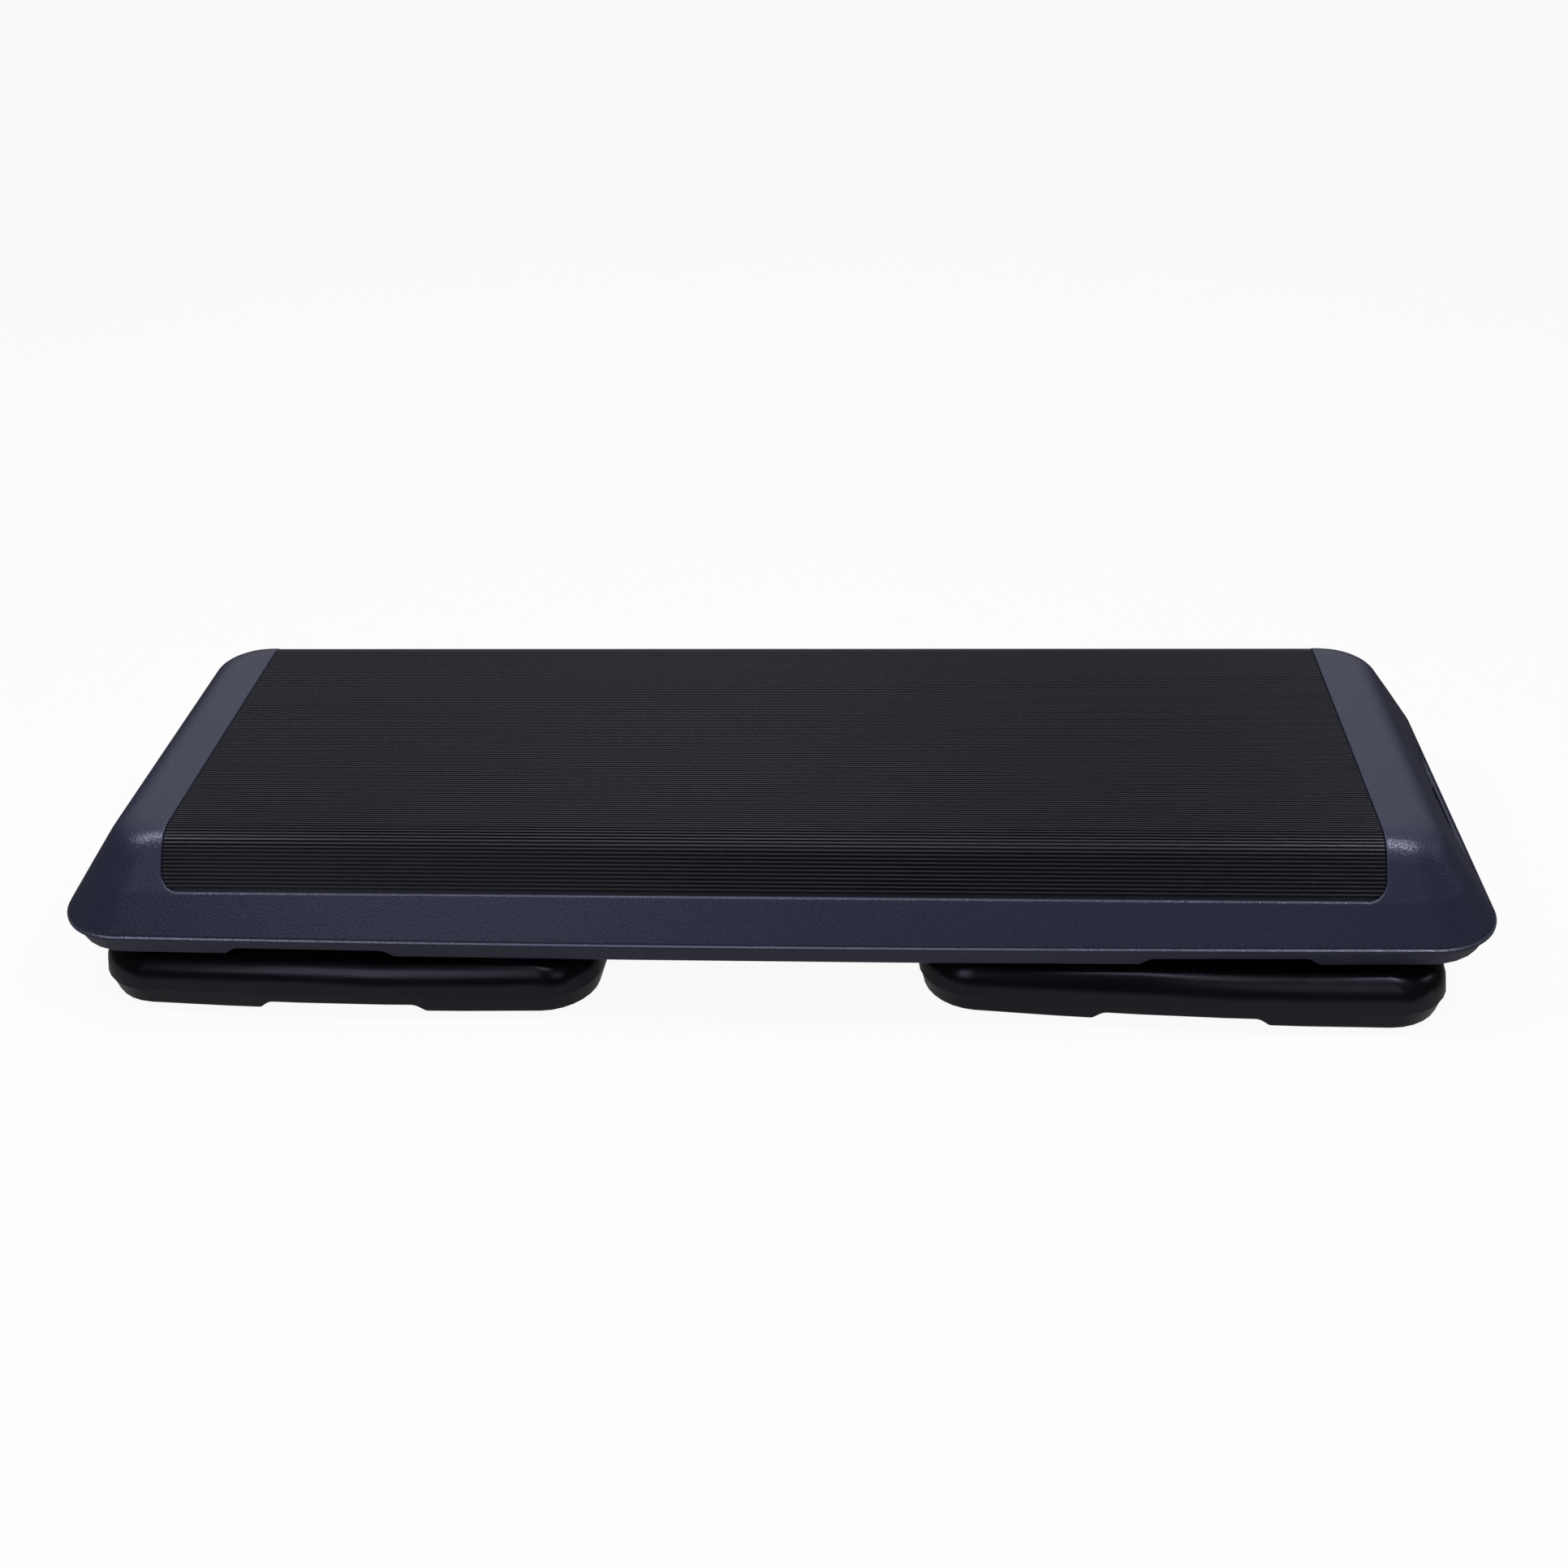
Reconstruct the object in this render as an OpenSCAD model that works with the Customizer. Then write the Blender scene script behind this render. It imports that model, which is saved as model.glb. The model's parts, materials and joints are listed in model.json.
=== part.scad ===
// Aerobic step: a long platform with a ribbed rubber tread, standing on two square stacking risers.
// Millimetres. Origin on the floor under the middle of the platform, +X along its length, +Z up.

/* [Platform] */
// Length over the seam
platform_length = 1092; // [1040:1:1160]
// Depth over the seam, at the middle of the long sides
platform_depth = 406; // [396:1:430]
// Height of the platform by itself, from its rim to the deck
platform_height = 87.4; // [80:0.1:110]
// Slope of the end walls, in degrees
end_slope = 55; // [50:0.5:60]
// Slope of the long walls, in degrees
side_slope = 56.3; // [50:0.1:60]
// Rounding between an end wall and the deck
end_round = 31.5; // [20:0.5:36]
// Rounding between a long wall and the deck
side_round = 27; // [20:0.5:32]
// Corner radius in plan, at the seam
seam_corner = 53; // [40:1:60]
// Corner radius in plan, at the deck
deck_corner = 32; // [20:1:40]
// How far the long walls bow out at the seam
side_bow = 5.2; // [0:0.1:8]

/* [Shells] */
// Wall of every moulded shell
wall = 3.5; // [2.5:0.1:4]
// Height of a seam above its rim
seam_rise = 15.8; // [14:0.1:20]
// Height of the straight band above a seam
seam_band = 2; // [1:0.1:3]
// How far an upper shell overhangs the lower one
seam_step = 2; // [1:0.1:3]
// How far the platform's lower wall draws in from seam to rim
rim_draft = 4.7; // [2:0.1:8]
// Rounding of a rim's lower edge
rim_round = 2.5; // [1:0.1:3]
// Draft of the plateaus and sockets, in degrees
draft = 4; // [1:0.5:6]

/* [Tread mat] */
// Distance from each end of the mat to the end of the platform
mat_border = 90.5; // [76:0.5:140]
// Drop of the mat's rolled edges below the deck
mat_drop = 38.4; // [30:0.1:46]
// Corner radius of the rolled edges
mat_corner = 13; // [6:0.5:20]
// Thickness of the mat, ribs included
mat_thick = 4; // [3:0.1:5]
// How far the ribs stay below the deck
mat_sink = 0.4; // [0.1:0.1:1]
// Gap around the edge of the mat
mat_gap = 0.3; // [0.1:0.1:1]
// Distance between ribs
rib_pitch = 3; // [2.5:0.1:6]
// Height of a rib
rib_height = 1.3; // [0.5:0.1:2]
// Width of a rib at its top
rib_top = 1.4; // [0.8:0.1:1.6]
// Width of a rib at its foot
rib_foot = 2; // [1.7:0.1:2.4]
// Width of the plain edge along the mat's rolled edges
mat_edge = 2.4; // [1:0.1:6]

/* [Risers] */
// How far a riser stands in from the platform's seam, front and back
riser_inset = 1; // [0:0.5:6]
// How far a riser stands in from the end of the platform
riser_end = 21; // [14:1:40]
// Height that each riser adds to the stack
riser_pitch = 51; // [46:0.5:60]
// Corner radius of a riser at its seam
riser_corner = 38; // [30:1:50]
// How far a riser's sides bow out
riser_bow = 6.4; // [0:0.1:10]
// Rounding of a riser's shoulder
shoulder_round = 24; // [12:0.5:26]
// How far a riser's upper shell overhangs its lower one
riser_step = 1; // [0.5:0.1:2]
// How far a riser's lower wall draws in from seam to rim
riser_draft = 2.6; // [1:0.1:6]
// How far the left riser is turned in its socket, in degrees
left_turn = -1; // [-2:0.1:2]
// How far the right riser is turned in its socket, in degrees
right_turn = -2.9; // [-2.9:0.1:2.9]
// How far the left riser is pushed back in its socket
left_shift = 3; // [0:0.5:3.5]

/* [Nesting] */
// Distance from a riser's side to the plateau that locks it under the next piece
shoulder_width = 42.5; // [40:0.5:50]
// Height of the plateau over the shoulder
plateau_height = 18; // [14:0.5:20]
// Corner radius of the plateau
plateau_corner = 58; // [50:1:70]
// Clearance around a plateau in its socket, on each side
nest_gap = 7; // [6.5:0.1:8]
// Clearance over a plateau in its socket
nest_rise = 1; // [0.5:0.1:2]
// Width of the land between a socket and the recess under the middle of the platform
land_width = 38; // [30:1:60]
// Depth of that recess
recess_depth = 26; // [18:0.5:40]

/* [Finger gaps] */
// Width of a finger gap at its top
gap_width = 110; // [60:1:120]
// How much each side of the gap flares out at the rim
gap_flare = 15; // [4:0.5:20]
// Height of a finger gap
gap_height = 7.6; // [5:0.1:9]
// How far the platform's finger gaps stand out from the middle of its risers
gap_shift = 22; // [0:1:30]

/* [End grips] */
// Length of the scooped grip in each end wall
grip_length = 230; // [160:1:260]
// Height of the grip above the seam band
grip_height = 44; // [30:0.5:50]
// Depth of the grip at the seam band
grip_depth = 6; // [2:0.1:8]

/* [Feet] */
// Diameter of a rubber foot
foot_d = 16; // [14:0.5:18]
// How far a foot stands out of its rim
foot_proud = 6; // [4:0.1:8]
// Depth of the pocket that a foot sits in
foot_pocket = 3; // [2:0.1:4]
// Clearance round a foot in its pocket
foot_gap = 0.2; // [0.1:0.1:0.4]
// Diameter of a foot's stem
stem_d = 7; // [6:0.5:8]
// Distance of the feet from a riser's sides
foot_edge = 46; // [44.5:0.5:47]

/* [Kiss-offs] */
// Diameter of a kiss-off cone at its mouth
cone_mouth = 56; // [44:1:64]
// Diameter of a kiss-off cone where it meets the deck
cone_tip = 22; // [16:1:30]
// Distance from the outer cones to the side of their socket
cone_edge = 69; // [56:1:86]

/* [Hidden] */
$fn = 48;
eps = 0.01;
over = 6;
corner_steps = 7;
side_steps = 5;
arc_steps = 6;
gap_steps = 5;
gap_dip = 0.6;
edge_break = 0.7;
barb = 1.2;
mould_draft = 0.6;

// Levels, from the floor up
riser_rim = foot_proud;
riser_seam = riser_rim + seam_rise;
rim = riser_rim + riser_pitch;
shoulder = rim - foot_proud;
plateau_top = shoulder + plateau_height;
seam = rim + seam_rise;
deck = rim + platform_height;
lip = deck - mat_drop;
base = seam + seam_band;
slope_height = deck - base;
mat_depth = mat_sink + mat_thick;
deck_inside = deck - mat_depth - wall;

// Sizes and places that follow from the platform
mat_length = platform_length - 2 * mat_border;
riser_size = platform_depth - 2 * riser_inset;
riser_place = platform_length / 2 - riser_end - riser_size / 2;
gap_place = riser_place + gap_shift;
plateau_size = riser_size - 2 * shoulder_width;
foot_place = riser_size / 2 - foot_edge;

socket_size = plateau_size + 2 * nest_gap;
socket_corner = plateau_corner + nest_gap;
socket_depth = plateau_top - rim + nest_rise;
recess_width = socket_size;
recess_length = 2 * (riser_place - socket_size / 2 - land_width);
cone_place = socket_size / 2 - cone_edge;

// Half of the flat deck across the platform, and the length of one rounded long edge
flat_half = platform_depth / 2 - round_inset(slope_height, side_round, side_slope);
edge_arc = side_round * side_slope * PI / 180;

shell_colour = "#3a3d4c";
mat_colour = "#202126";
riser_colour = "#141416";
foot_colour = "#1b1b1b";

// ---- Profiles and lofts ----

// Run of a wall of this height and slope that ends in a rounding of this radius
function round_inset(height, radius, slope) = height / tan(slope) + radius * tan(slope / 2);

// How far such a wall has drawn in at height h, for a surface lying depth d inside it
function wall_inset(h, height, radius, slope, d = 0) =
    let (top = height - d, r = radius - d, bend = top - r * (1 - cos(slope)))
    d / sin(slope) + (h <= bend
        ? h / tan(slope)
        : bend / tan(slope) + r * (sin(slope) - sin(acos(1 - (top - h) / r))));

// A rounded rectangle of half sides a and b, with sides that bow out by bow_a and bow_b
function ring(a, b, r, z, bow_a = 0, bow_b = 0) = [
    for (i = [0:3])
        let (
            sx = [1, -1, -1, 1][i],
            sy = [1, 1, -1, -1][i],
            nx = [-1, -1, 1, 1][i],
            ny = [1, -1, -1, 1][i],
            last = [sx * (a - r), sy * (b - r)] + r * [cos(90 * i + 90), sin(90 * i + 90)],
            next = [nx * (a - r), ny * (b - r)] + r * [cos(90 * i + 90), sin(90 * i + 90)]
        )
        each concat(
            [for (k = [0:corner_steps])
                let (t = 90 * (i + k / corner_steps))
                bowed([sx * (a - r) + r * cos(t), sy * (b - r) + r * sin(t)], a, b, bow_a, bow_b, z)],
            [for (k = [1:side_steps - 1])
                bowed(last + (next - last) * k / side_steps, a, b, bow_a, bow_b, z)]
        )
];

function bowed(p, a, b, bow_a, bow_b, z) = [
    p.x * (1 + bow_a / a * (1 - pow(p.y / b, 2))),
    p.y * (1 + bow_b / b * (1 - pow(p.x / a, 2))),
    z
];

// A closed solid through rings of equal length, from the lowest to the highest, with flat ends
module loft(rings) {
    n = len(rings[0]);
    m = len(rings);
    foot = n * m;
    head = foot + 1;
    polyhedron(
        points = concat([for (r = rings) each r], [[0, 0, rings[0][0].z], [0, 0, rings[m - 1][0].z]]),
        faces = concat(
            [for (i = [0:n - 1]) [foot, i, (i + 1) % n]],
            [for (j = [0:m - 2], i = [0:n - 1])
                let (p = j * n + i, q = j * n + (i + 1) % n)
                each [[p, p + n, q + n], [p, q + n, q]]],
            [for (i = [0:n - 1]) [head, (m - 1) * n + (i + 1) % n, (m - 1) * n + i]]
        )
    );
}

// A square solid with drafted sides
module drafted_square(size, corner, z, height) {
    lean = height * tan(draft);
    loft([
        ring(size / 2, size / 2, corner, z),
        ring(size / 2 - lean, size / 2 - lean, corner - lean, z + height)
    ]);
}

// ---- Platform ----

// One ring of the upper wall at height h over the band, lying depth d inside the outer surface
function upper_ring(h, d = 0) =
    let (
        bow = side_bow * max(0, 1 - h / (lip - base)),
        share = h / slope_height,
        along = wall_inset(h, slope_height, end_round, end_slope, d),
        across = wall_inset(h, slope_height, side_round, side_slope, d)
    )
    ring(
        platform_length / 2 - along,
        platform_depth / 2 - bow - across,
        seam_corner + (deck_corner - seam_corner) * share,
        base + h,
        bow_b = bow
    );

// Heights of the rings over the band: the mat's lip, then the rounding in equal turns
function upper_heights(d) =
    let (top = slope_height - d, r = end_round - d)
    concat(
        [0, lip - base],
        [for (k = [0:arc_steps]) top - r * (1 - cos(end_slope * (1 - k / arc_steps)))]
    );

function band_ring(z, inset) =
    ring(
        platform_length / 2 - inset,
        platform_depth / 2 - side_bow - inset,
        seam_corner,
        z,
        bow_b = side_bow
    );

module upper_outside() {
    loft(concat(
        [band_ring(seam, edge_break), band_ring(seam + edge_break, 0), band_ring(base - edge_break, 0)],
        [for (h = upper_heights(0)) upper_ring(max(h, eps))]
    ));
}

module upper_inside() {
    loft(concat(
        [band_ring(seam - over, wall / sin(end_slope))],
        [for (h = upper_heights(wall)) upper_ring(max(h, eps), wall)]
    ));
}

// A point of the skin over the long edges: s runs round the section, d goes in from the surface
function skin(s, d) =
    let (q = abs(s), way = s < 0 ? -1 : 1, r = side_round - d)
    q <= flat_half
        ? [s, deck - d]
        : q <= flat_half + edge_arc
            ? let (turn = (q - flat_half) / side_round * 180 / PI)
                [way * (flat_half + r * sin(turn)), deck - side_round + r * cos(turn)]
            : let (run = q - flat_half - edge_arc)
                [
                    way * (flat_half + r * sin(side_slope) + run * cos(side_slope)),
                    deck - side_round + r * cos(side_slope) - run * sin(side_slope)
                ];

// How far round the section the lip lies, and how far the mat's blank reaches past it
skin_lip = flat_half + edge_arc + (mat_drop - side_round * (1 - cos(side_slope))) / sin(side_slope);
skin_end = skin_lip + over;

// The stations of the plain skin, from the front edge to the back one
skin_stations = concat(
    [-skin_end],
    [for (k = [arc_steps:-1:0]) -flat_half - edge_arc * k / arc_steps],
    [for (k = [0:arc_steps]) flat_half + edge_arc * k / arc_steps],
    [skin_end]
);

// A section across the platform, drawn in Y and Z, carried along X
module along_platform(length) {
    rotate([90, 0, 90])
        linear_extrude(length, center = true)
            children();
}

// The mat's front view: straight ends, rounded lower corners
module mat_front(grow) {
    half = mat_length / 2 + grow;
    low = lip - grow;
    r = mat_corner + grow;
    rotate([90, 0, 0])
        linear_extrude(platform_depth + 2 * over, center = true) {
            translate([-half + r, low])
                square([2 * (half - r), deck + 2 * over - low]);
            translate([-half, low + r])
                square([2 * half, deck + 2 * over - low - r]);
            for (side = [-1, 1])
                translate([side * (half - r), low + r])
                    circle(r);
        }
}

// The room that the mat lies in, grown by this much where the shell's inside follows it
module mat_room(grow = 0) {
    intersection() {
        along_platform(platform_length)
            polygon(concat(
                [for (s = skin_stations) skin(s, mat_depth + grow)],
                [[platform_depth, lip - over], [platform_depth, deck + over]],
                [[-platform_depth, deck + over], [-platform_depth, lip - over]]
            ));
        mat_front(grow);
    }
}

// Outward scoop in an end wall, with its floor a little steeper than the wall
module end_grip(grow = 0) {
    low = [platform_length / 2 - grip_depth, base];
    high = [platform_length / 2 - grip_height / tan(end_slope), base + grip_height];
    lean = atan2(low.x - high.x, grip_height);
    sagitta = grip_depth * cos(lean);
    radius = (pow(grip_length / 2, 2) + pow(sagitta, 2)) / (2 * sagitta);
    intersection() {
        translate([low.x, 0, low.y])
            rotate([0, -lean, 0])
                translate([radius, 0, -2 * grip_height])
                    cylinder(h = 5 * grip_height, r = radius + grow, $fn = 720);
        translate([platform_length / 2 - grip_height - grow, -grip_length / 2 - grow, base - grow])
            cube([2 * grip_height, grip_length + 2 * grow, 2 * grip_height]);
    }
}

module both_ends() {
    children();
    mirror([1, 0, 0])
        children();
}

module platform_upper_shell() {
    color(shell_colour)
        difference() {
            upper_outside();
            difference() {
                upper_inside();
                mat_room(wall);
                both_ends() end_grip(wall);
            }
            mat_room();
            both_ends() end_grip();
        }
}

// The mat's section: a smooth back, ribs that run along the platform, and a plain edge
module mat_section() {
    ribs = floor((skin_lip - mat_edge - rib_foot / 2) / rib_pitch);
    valley = mat_sink + rib_height;
    rib = [[1, rib_foot, valley], [1, rib_top, mat_sink], [-1, rib_top, mat_sink], [-1, rib_foot, valley]];
    polygon(concat(
        [for (s = skin_stations) skin(s, mat_depth)],
        [skin(skin_end, mat_sink)],
        [for (k = [ribs:-1:-ribs], p = rib)
            if (!(k == ribs && p[0] > 0) && !(k == -ribs && p[0] < 0))
                skin(k * rib_pitch + p[0] * p[1] / 2, p[2])],
        [skin(-skin_end, mat_sink)]
    ));
}

module tread_mat() {
    color(mat_colour)
        intersection() {
            along_platform(mat_length - 2 * mat_gap)
                mat_section();
            mat_front(-mat_gap);
        }
}

function lower_ring(z, inset) =
    ring(
        platform_length / 2 - inset,
        platform_depth / 2 - side_bow - inset,
        seam_corner - inset / 2,
        z,
        bow_b = side_bow
    );

// Rings of a lower wall, given as height over the rim and inset: a rounded rim, then the draft
function rim_rings(step, drawn) = concat(
    [for (k = [0:3])
        let (t = 30 * k)
        [rim_round * (1 - cos(t)), step + drawn + rim_round * (1 - sin(t))]],
    [[seam_rise, step]]
);

module lower_outside() {
    loft([for (p = rim_rings(seam_step, rim_draft)) lower_ring(rim + p[0], p[1])]);
}

module lower_inside() {
    loft([
        lower_ring(rim + wall, seam_step + rim_draft + wall),
        lower_ring(seam + over, seam_step + wall)
    ]);
}

// One side of a finger gap: an S-curve from the ceiling down to the rim, and on below it
function gap_side(side, grow) = [
    for (k = [0:gap_steps])
        let (fall = (1 - cos(180 * k / gap_steps)) / 2)
        [
            side * (gap_width / 2 + grow + gap_flare * k / gap_steps),
            (gap_height + grow) * (1 - fall) - gap_dip * fall
        ]
];

// A finger gap under a rim, open to the front; grown by the wall it makes the ceiling over the gap
module finger_gap(x, z, reach, back, grow = 0) {
    foot = gap_width / 2 + grow + gap_flare;
    right = gap_side(1, grow);
    left = gap_side(-1, grow);
    translate([x, back - grow, z])
        rotate([90, 0, 0])
            mirror([0, 0, 1])
                linear_extrude(reach - back + over + grow)
                    polygon(concat(
                        right,
                        [[foot, -gap_height], [-foot, -gap_height]],
                        [for (k = [gap_steps:-1:0]) left[k]]
                    ));
}

// The finger gaps on both long sides of a piece
module finger_gaps(x, z, reach, grow = 0) {
    back = socket_size / 2 + wall;
    for (turn = [0, 180])
        rotate(turn)
            finger_gap(turn == 0 ? x : -x, z, reach, back, grow);
}

// Socket under a piece, that the plateau of the riser below fills
module socket(x, z, grow = 0) {
    translate([x, 0, 0])
        drafted_square(socket_size + 2 * grow, socket_corner + grow, z - eps, socket_depth + grow + eps);
}

// A hollow cone pressed up from a lower shell until it meets the deck above it
module kiss_off(x, y, low, high, grow = 0) {
    height = high - low;
    translate([x, y, low - eps])
        cylinder(
            h = height + eps - (grow > 0 ? 0 : wall),
            d1 = cone_mouth + 2 * grow,
            d2 = cone_tip + 2 * grow
        );
}

// The cones over a socket: one in the middle and four around it
module socket_cones(x, low, high, grow = 0) {
    kiss_off(x, 0, low, high, grow);
    for (sx = [-1, 1], sy = [-1, 1])
        kiss_off(x + sx * cone_place, sy * cone_place, low, high, grow);
}

// Pocket of a foot, with the hole for its stem; grown it makes the boss that carries the foot
module foot_pocket_room(x, y, z, grow = 0) {
    translate([x, y, z - eps]) {
        cylinder(h = foot_pocket + grow + eps, d = foot_d + 2 * foot_gap + 2 * grow);
        if (grow == 0)
            cylinder(h = foot_pocket + wall + 2 * eps, d = stem_d);
    }
}

// Places of the feet round a riser's centre
foot_spots = [for (sx = [-1, 1], sy = [-1, 1]) [sx * foot_place, sy * foot_place]];

// Feet of the platform: one over each corner of each riser
platform_spots = [for (side = [-1, 1], p = foot_spots) [side * riser_place + p.x, p.y]];

module centre_recess(grow = 0) {
    half = recess_length / 2 + grow;
    deep = recess_width / 2 + grow;
    lean = recess_depth * tan(draft);
    corner = seam_corner / 2;
    loft([
        ring(half, deep, corner + grow, rim - eps),
        ring(half - lean, deep - lean, corner + grow - lean, rim + recess_depth + grow)
    ]);
}

// Everything that is pressed into the platform's underside
module platform_hollows(grow = 0) {
    for (side = [-1, 1]) {
        socket(side * riser_place, rim, grow);
        socket_cones(side * riser_place, rim + socket_depth, deck_inside, grow);
        finger_gaps(side * gap_place, rim, platform_depth / 2, grow);
    }
    centre_recess(grow);
    for (sx = [-1, 0, 1], sy = [-1, 1])
        kiss_off(
            sx * recess_length / 3,
            sy * cone_place,
            rim + recess_depth,
            deck_inside,
            grow
        );
    for (p = platform_spots)
        foot_pocket_room(p.x, p.y, rim, grow);
}

module platform_lower_shell() {
    color(shell_colour)
        difference() {
            union() {
                difference() {
                    lower_outside();
                    lower_inside();
                }
                intersection() {
                    platform_hollows(wall);
                    platform_blank();
                }
            }
            platform_hollows();
        }
}

// Limits of what the lower shell's hollows may fill: its own outside, and the room above it
module platform_blank() {
    lower_outside();
    loft([
        lower_ring(seam - eps, seam_step + wall),
        lower_ring(deck_inside, seam_step + wall)
    ]);
}

// ---- Feet ----

// A push-in rubber foot: a head in its pocket, a stem through the wall and a barb behind it
module rubber_foot(x, y, z) {
    head = foot_d / 2;
    stem = stem_d / 2;
    back = foot_pocket + wall;
    color(foot_colour)
        translate([x, y, z])
            rotate_extrude()
                polygon([
                    [0, -foot_proud],
                    [head - edge_break, -foot_proud],
                    [head, edge_break - foot_proud],
                    [head, foot_pocket],
                    [stem, foot_pocket],
                    [stem, back],
                    [stem + barb, back],
                    [stem - barb, back + 3 * barb],
                    [0, back + 3 * barb]
                ]);
}

// ---- Risers ----

function riser_ring(z, inset) =
    ring(
        riser_size / 2 - riser_bow - inset,
        riser_size / 2 - riser_bow - inset,
        riser_corner - inset / 4,
        z,
        bow_a = riser_bow,
        bow_b = riser_bow
    );

// Wall of a riser from its seam: a little draft, then the rounded shoulder
function shoulder_rings(d) =
    let (bend = shoulder - shoulder_round, r = shoulder_round - d)
    concat(
        [[riser_seam + edge_break, d], [bend, d + mould_draft]],
        [for (k = [1:arc_steps])
            let (t = 90 * k / arc_steps)
            [bend + r * sin(t), d + mould_draft + r * (1 - cos(t))]]
    );

// The plateau on top of a riser, with drafted sides and a broken upper edge
module plateau(grow = 0) {
    bevel = edge_break + mould_draft;
    half = plateau_size / 2 - grow;
    corner = plateau_corner - grow;
    lean = (plateau_height - bevel) * tan(draft);
    loft([
        ring(half, half, corner, shoulder - over),
        ring(half, half, corner, shoulder),
        ring(half - lean, half - lean, corner - lean, plateau_top - bevel - grow),
        ring(half - lean - bevel, half - lean - bevel, corner - lean - bevel, plateau_top - grow)
    ]);
}

module riser_upper_shell() {
    color(riser_colour)
        difference() {
            union() {
                loft(concat(
                    [riser_ring(riser_seam, edge_break)],
                    [for (p = shoulder_rings(0)) riser_ring(p[0], p[1])]
                ));
                plateau();
            }
            loft(concat(
                [riser_ring(riser_seam - over, wall)],
                [for (p = shoulder_rings(wall)) riser_ring(p[0], p[1])]
            ));
            plateau(wall);
        }
}

// Everything that is pressed into a riser's underside
module riser_hollows(grow = 0) {
    socket(0, riser_rim, grow);
    socket_cones(0, riser_rim + socket_depth, plateau_top - wall, grow);
    finger_gaps(0, riser_rim, riser_size / 2, grow);
    for (p = foot_spots)
        foot_pocket_room(p.x, p.y, riser_rim, grow);
}

module riser_lower_outside() {
    loft([for (p = rim_rings(riser_step, riser_draft)) riser_ring(riser_rim + p[0], p[1])]);
}

module riser_lower_shell() {
    color(riser_colour)
        difference() {
            union() {
                difference() {
                    riser_lower_outside();
                    loft([
                        riser_ring(riser_rim + wall, riser_step + riser_draft + wall),
                        riser_ring(riser_seam + over, riser_step + wall)
                    ]);
                }
                intersection() {
                    riser_hollows(wall);
                    union() {
                        riser_lower_outside();
                        loft([
                            riser_ring(riser_seam - eps, riser_step + wall),
                            riser_ring(plateau_top - wall, riser_step + wall)
                        ]);
                    }
                }
            }
            riser_hollows();
        }
}

// The left or right riser's own frame: moved out under its socket and turned in it
module riser_frame(side) {
    translate([side * riser_place, side < 0 ? left_shift : 0, 0])
        rotate(side < 0 ? left_turn : right_turn)
            children();
}

// ---- Nodes ----

platform_upper_shell();
platform_lower_shell();
tread_mat();
for (i = [0:7])
    rubber_foot(platform_spots[i].x, platform_spots[i].y, rim);
for (hand = [["left", -1], ["right", 1]])
    riser_frame(hand[1]) {
        riser_upper_shell();
        riser_lower_shell();
        for (i = [0:3])
            rubber_foot(foot_spots[i].x, foot_spots[i].y, riser_rim);
    }
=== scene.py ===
"""Aerobic step on two stacking risers: its skins, finishes, light and camera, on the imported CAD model."""

import json
import math

import bpy
import numpy as np
from bpy.props import FloatProperty, FloatVectorProperty, PointerProperty
from mathutils import Matrix, Vector

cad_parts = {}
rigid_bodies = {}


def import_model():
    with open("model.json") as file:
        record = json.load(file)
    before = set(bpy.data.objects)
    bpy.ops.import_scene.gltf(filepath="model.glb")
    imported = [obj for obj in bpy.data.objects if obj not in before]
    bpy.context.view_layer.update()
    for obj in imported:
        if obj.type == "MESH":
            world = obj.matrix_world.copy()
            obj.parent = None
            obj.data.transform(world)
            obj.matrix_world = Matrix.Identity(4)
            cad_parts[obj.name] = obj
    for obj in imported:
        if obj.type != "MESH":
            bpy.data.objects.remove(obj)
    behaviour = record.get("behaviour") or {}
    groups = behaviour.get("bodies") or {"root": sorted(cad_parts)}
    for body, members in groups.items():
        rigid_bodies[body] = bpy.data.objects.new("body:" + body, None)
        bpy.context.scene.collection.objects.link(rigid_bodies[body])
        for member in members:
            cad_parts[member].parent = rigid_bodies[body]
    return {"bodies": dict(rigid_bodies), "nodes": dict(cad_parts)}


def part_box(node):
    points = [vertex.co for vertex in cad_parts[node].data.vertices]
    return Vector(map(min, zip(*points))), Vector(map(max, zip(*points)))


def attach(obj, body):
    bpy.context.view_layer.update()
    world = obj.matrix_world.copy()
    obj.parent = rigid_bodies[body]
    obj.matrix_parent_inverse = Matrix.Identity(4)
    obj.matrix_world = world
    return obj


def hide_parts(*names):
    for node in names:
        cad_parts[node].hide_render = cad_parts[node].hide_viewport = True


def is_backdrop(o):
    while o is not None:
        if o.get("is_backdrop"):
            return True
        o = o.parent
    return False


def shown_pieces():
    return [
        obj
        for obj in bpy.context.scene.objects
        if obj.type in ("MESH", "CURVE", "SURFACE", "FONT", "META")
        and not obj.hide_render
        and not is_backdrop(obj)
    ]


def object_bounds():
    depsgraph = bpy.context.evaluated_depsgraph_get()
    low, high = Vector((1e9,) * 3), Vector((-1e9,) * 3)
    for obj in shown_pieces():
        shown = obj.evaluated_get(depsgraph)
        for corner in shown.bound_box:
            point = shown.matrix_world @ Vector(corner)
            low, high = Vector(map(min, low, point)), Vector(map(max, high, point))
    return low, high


bl_info = {
    "name": "Aerobic step studio",
    "version": (1, 0, 0),
    "blender": (4, 5, 0),
    "location": "3D View > Sidebar > Step",
    "description": "Skins, finishes and lights an aerobic step that stands on two risers",
    "category": "Object",
}

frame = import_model()
CAD_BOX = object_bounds()

MM = 0.001
PLATFORM = "platform"
RISERS = ("riser_left", "riser_right")

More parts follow.
